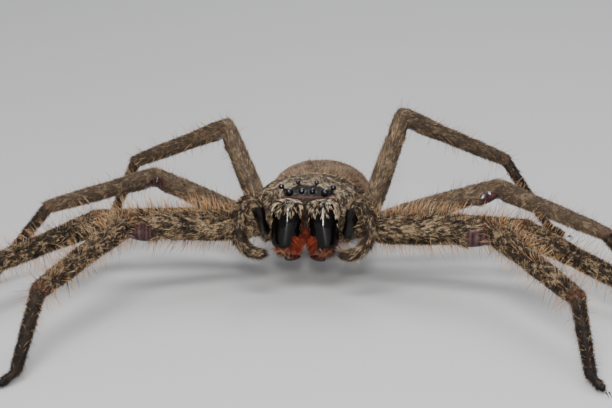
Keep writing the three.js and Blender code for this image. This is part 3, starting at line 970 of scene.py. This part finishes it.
class SPIDER_OT_bristles(bpy.types.Operator):
    """Grows the long erect bristles that fringe the legs, palps and brow"""
    bl_idname = "spider.bristles"
    bl_label = "Grow bristles"

    def execute(self, context):
        settings = context.scene.spider_coat
        skin = bpy.data.objects["skin"]
        rng = np.random.default_rng(BRISTLE_SEED)
        share = 1.0

        def density(points, normals):
            seen = survey(points)
            amount = np.select(
                [np.isin(seen["kind"], (FEMUR, PATELLA, TIBIA)), seen["kind"] == METATARSUS, seen["kind"] == PALP,
                 seen["kind"] == TARSUS],
                [np.where(seen["number"] <= 2, 5.0, 2.0), 2.5, 2.5, 1.0], 0.4)
            amount *= np.where(np.abs(normals[:, 2]) > 0.6, 1.3, 0.4)
            return amount * share * (bare_spots(points, normals, seen) == 0)

        roots, normals, uvs = sample_roots(skin, density, rng, "skin_unwrap")
        seen = survey(roots)
        body_kind = np.isin(seen["kind"], (CARAPACE, ABDOMEN, UNDERSIDE))
        scale = np.select(
            [body_kind, seen["kind"] >= METATARSUS, seen["number"] >= 3],
            [BODY_BRISTLES, TOE_BRISTLES, HIND_BRISTLES], 1.0)
        lengths = settings.bristle / MM * scale * rng.uniform(0.45, 1.35, len(roots))
        lifts = np.radians(rng.uniform(58, 88, len(roots)))
        colour = np.array(settings.bristle_colour)
        tones = np.where(rng.random((len(roots), 1)) < 0.45, colour, np.array(PALE))
        tones = np.where(rng.random((len(roots), 1)) < 0.18, np.array(DARK), tones)
        lies = seen["lie"] + rng.normal(0, 0.35, roots.shape)
        widths = rng.uniform(0.015, 0.023, len(roots))
        bends = unit(lies) * 0.08
        grow("bristles", roots, normals, lies, lifts, lengths, widths, tones, uvs, bends)
        return {"FINISHED"}


class SPIDER_OT_mouth_hair(bpy.types.Operator):
    """Grows the pale tufts on the jaws and the red fringe round the fangs"""
    bl_idname = "spider.mouth_hair"
    bl_label = "Grow jaw and mouth hair"

    def execute(self, context):
        for side, sign in SIDES.items():
            self.jaw_hair(side, sign)
        return {"FINISHED"}

    def jaw_hair(self, side, sign):
        jaw = bpy.data.objects["jaw_" + side]
        rng = np.random.default_rng(JAW_SEED + sign)
        share = 1.0

        def density(points, normals):
            body = to_body(points)
            top = body[:, 2] > JAW_TOP + 0.3 * np.sin(body[:, 0] * 5)
            outer = (np.abs(body[:, 0]) > JAW_OUTER_X) & (body[:, 2] > -2.0)
            low = body[:, 2] < JAW_TIP
            notch = self.inward(body, normals, 0.85) & (body[:, 2] < 0.3)
            return share * np.select(
                [low, self.fringed(body, normals), top, notch, outer], [90, 90, 74, 30, 10], 0.0)

        roots, normals, uvs = sample_roots(jaw, density, rng, "jaw_unwrap")
        body = to_body(roots)
        count = len(roots)
        fringe = self.fringed(body, normals)
        low = body[:, 2] < JAW_TIP
        red = fringe | low
        draw = rng.random((count, 1)) + clump(roots, 0.4, 5)[:, None] * 0.9
        tones = np.where(draw < 0.28, np.array(CREAM), np.where(draw < 0.46, np.array(TAN), np.array(DARK)))
        tones = np.where(body[:, 2:] < JAW_DARK, np.array(DARK), tones)
        brown = np.where(draw < 0.4, np.array(RUSSET), np.array(DARK))
        tones = np.where(self.inward(body, normals, 0.85)[:, None] & (body[:, 2:] < 0.7), brown, tones)
        low_mix = np.where(draw < 0.4, np.array(RED), np.where(draw < 0.55, np.array(TAN), np.array(DARK)))
        fringe_mix = np.where(draw < 0.65, np.array(RED), np.array(DEEP_RED))
        fringe_mix = np.where(draw < 0.15, np.array(RED_ORANGE), fringe_mix)
        tones = np.where(red[:, None], low_mix, tones)
        tones = np.where(fringe[:, None], fringe_mix, tones)
        tones *= rng.uniform(0.6, 1.25, (count, 1))
        lengths = np.select([fringe, low], [rng.uniform(0.8, 1.5, count), rng.uniform(0.8, 1.5, count)],
                            rng.uniform(0.3, 0.6, count))
        lies = np.tile(np.array((0.0, -0.15, -1.0)), (count, 1))
        lies[:, 0] = np.where(fringe, -np.sign(body[:, 0]) * 0.95, np.sign(body[:, 0]) * 0.08)
        lies[red, 1] = -0.3
        lies += rng.normal(0, 0.2, lies.shape)
        lifts = np.radians(np.where(fringe, rng.uniform(10, 50, count), rng.uniform(8, 28, count)))
        widths = np.where(red, 0.024, 0.02) * rng.uniform(0.8, 1.2, count)
        bends = unit(lies) * 0.12
        grow("jaw_hair_" + side, roots, normals, lies, lifts, lengths, widths, tones, uvs, bends)

    def inward(self, body, normals, least=0.5):
        """Faces of a jaw that look to the midline."""
        return -np.sign(body[:, 0]) * normals[:, 0] > least

    def fringed(self, body, normals):
        """The part of those faces that carries the red fringe."""
        return self.inward(body, normals) & (body[:, 2] < FRINGE_TOP)


# What the camera looks at, in millimetres before the shift, and the studio's light
CAMERA_AIM = (0.16, -9.0, 9.8)
WORLD_COLOUR = (0.9, 0.93, 1.0, 1)
WORLD_STRENGTH = 0.42

# Lights: name, offset from the face in metres, size, power and colour
LIGHTS = (
    ("flash", (0.02, -0.255, 0.07), (0.006, 0.13), 1.4, (1.0, 0.98, 0.95)),
    ("key", (-0.06, -0.14, 0.3), (0.2, 0.2), 1.5, (1.0, 0.98, 0.95)),
    ("back", (0.05, 0.3, 0.3), (0.25, 0.25), 1.3, (1.0, 1.0, 1.0)),
)


class SPIDER_OT_stage(bpy.types.Operator):
    """Lays the pale floor and sets the lights and the camera"""
    bl_idname = "spider.stage"
    bl_label = "Set stage"

    def execute(self, context):
        settings = context.scene.spider_stage
        deselect()
        bpy.ops.mesh.primitive_plane_add(size=6)
        floor = context.object
        floor.name = "floor"
        material, _, _, shader = new_material("studio floor")
        shader.inputs["Base Color"].default_value = (*settings.floor_colour, 1)
        shader.inputs["Roughness"].default_value = 0.6
        floor.data.materials.append(material)
        world = bpy.data.worlds.new("studio")
        world.use_nodes = True
        world.node_tree.nodes["Background"].inputs["Color"].default_value = WORLD_COLOUR
        world.node_tree.nodes["Background"].inputs["Strength"].default_value = WORLD_STRENGTH
        context.scene.world = world
        target = place(0, -6, 2)
        for name, offset, size, power, colour in LIGHTS:
            self.light(name, target + Vector(offset), target, size, power, colour)
        self.camera(context, settings)
        return {"FINISHED"}

    def light(self, name, where, target, size, power, colour):
        data = bpy.data.lights.new(name, "AREA")
        data.shape = "RECTANGLE"
        data.size, data.size_y = size
        data.energy = power
        data.color = colour
        lamp = bpy.data.objects.new(name, data)
        bpy.context.scene.collection.objects.link(lamp)
        lamp.location = where
        lamp.rotation_euler = (target - where).to_track_quat("-Z", "Y").to_euler()

    def camera(self, context, settings):
        """Looks at the place before the face that is in the middle of the photo."""
        look = (Vector(CAMERA_AIM) + SHIFT) * MM
        back = Vector((
            math.sin(settings.azimuth) * math.cos(settings.elevation),
            -math.cos(settings.azimuth) * math.cos(settings.elevation),
            math.sin(settings.elevation),
        ))
        data = bpy.data.cameras.new("camera")
        data.lens = settings.lens
        data.sensor_width = 36
        data.clip_start = 0.005
        camera = bpy.data.objects.new("camera", data)
        context.scene.collection.objects.link(camera)
        camera.location = look + back * settings.distance
        camera.rotation_euler = (-back).to_track_quat("-Z", "Y").to_euler()
        context.scene.camera = camera


STEPS = (
    SPIDER_OT_materials, SPIDER_OT_skin, SPIDER_OT_jaws, SPIDER_OT_eyes, SPIDER_OT_claws, SPIDER_OT_coat,
    SPIDER_OT_bristles, SPIDER_OT_mouth_hair, SPIDER_OT_stage,
)


class SPIDER_PT_panel(bpy.types.Panel):
    """Sidebar panel with the settings and the steps in order"""
    bl_idname = "SPIDER_PT_panel"
    bl_label = "Huntsman spider"
    bl_space_type = "VIEW_3D"
    bl_region_type = "UI"
    bl_category = "Spider"

    def draw(self, context):
        for settings in (context.scene.spider_coat, context.scene.spider_stage):
            for name in settings.bl_rna.properties.keys():
                if name not in ("rna_type", "name"):
                    self.layout.prop(settings, name)
        for step in STEPS:
            self.layout.operator(step.bl_idname)


CLASSES = (SpiderCoatSettings, SpiderStageSettings, *STEPS, SPIDER_PT_panel)


def register():
    for each in CLASSES:
        bpy.utils.register_class(each)
    bpy.types.Scene.spider_coat = bpy.props.PointerProperty(type=SpiderCoatSettings)
    bpy.types.Scene.spider_stage = bpy.props.PointerProperty(type=SpiderStageSettings)


def unregister():
    del bpy.types.Scene.spider_stage
    del bpy.types.Scene.spider_coat
    for each in reversed(CLASSES):
        bpy.utils.unregister_class(each)


def main():
    register()
    for step in STEPS:
        group, name = step.bl_idname.split(".")
        getattr(getattr(bpy.ops, group), name)()
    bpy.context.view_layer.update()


if __name__ == "__main__":
    main()
